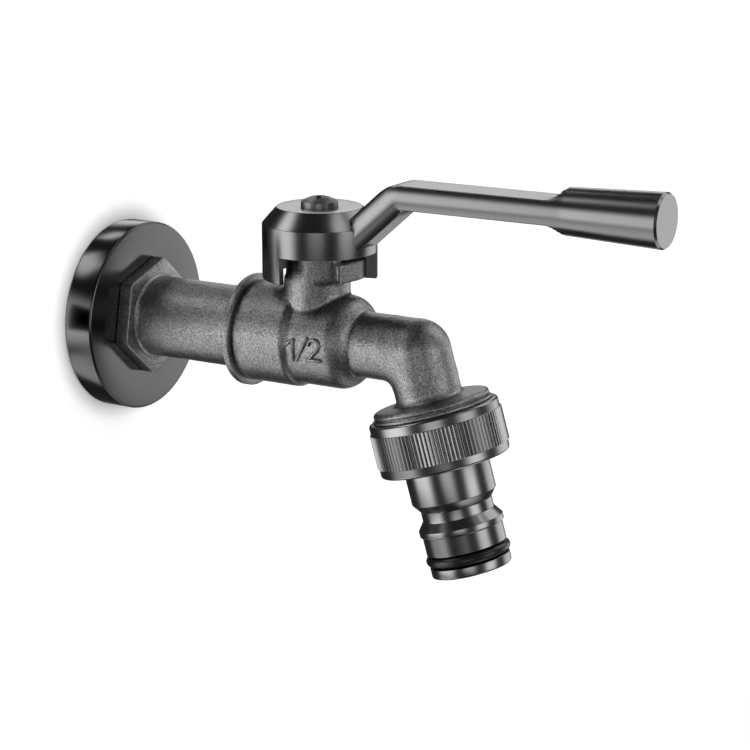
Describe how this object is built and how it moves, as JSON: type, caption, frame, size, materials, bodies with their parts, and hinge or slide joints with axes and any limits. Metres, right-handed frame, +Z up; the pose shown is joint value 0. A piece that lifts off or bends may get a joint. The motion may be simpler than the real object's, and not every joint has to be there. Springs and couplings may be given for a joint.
{
  "type": "lever ball valve bib tap with hose connector",
  "caption": "Lever-operated ball valve bib tap with a wall flange, a bent cast spout and a ribbed coupling nut that holds a push-on hose nipple.",
  "frame": {"origin": "where the inlet axis meets the wall plane, on the wall flange's rear face", "axes": "+X out of the wall along the inlet axis, +Z up along the stem, +Y to the left for a viewer who stands in front of the tap and faces the wall"},
  "size_m": [0.1697, 0.05, 0.1026],
  "materials": {
    "cast_gunmetal": "sand-cast brass with a dark gunmetal plating, matte grain",
    "polished_gunmetal": "turned and polished, dark gunmetal plating",
    "chromed_ball": "polished hard chrome",
    "stem_brass": "turned brass",
    "seat_plastic": "white low-friction plastic",
    "seal_rubber": "black rubber, slightly glossy"
  },
  "bodies": {
    "tap": {"wall_flange": "polished_gunmetal", "inlet_tube": "cast_gunmetal", "body": "cast_gunmetal", "body_oring": "seal_rubber", "seat_ring_inlet": "seat_plastic", "seat_ring_outlet": "seat_plastic", "stem_thrust_washer": "seat_plastic"},
    "lever": {"lever_handle": "polished_gunmetal", "handle_screw": "polished_gunmetal", "stem": "stem_brass", "stem_oring_lower": "seal_rubber", "stem_oring_upper": "seal_rubber", "ball": "chromed_ball"},
    "nipple": {"hose_nipple": "polished_gunmetal", "coupling_gasket": "seal_rubber", "nipple_oring": "seal_rubber"},
    "nut": {"coupling_nut": "polished_gunmetal"}
  },
  "joints": [
    {"name": "lever_turn", "type": "hinge", "parent": "tap", "child": "lever", "pos_m": [0.0621, 0, 0], "axis": [0, 0, 1], "range_deg": [0, 90]},
    {"name": "nipple_back_off", "type": "slide", "parent": "tap", "child": "nipple", "axis": [0.2823, 0, -0.9593], "range_m": [0, 0.0082]},
    {"name": "nut_spin", "type": "hinge", "parent": "nipple", "child": "nut", "pos_m": [0.0906, 0, 0], "axis": [0.2823, 0, -0.9593], "range_deg": [0, 1620]}
  ],
  "couplings": [
    {"joint": "nipple_back_off", "follows": "nut_spin", "m_per_rad": 0.00028871}
  ]
}
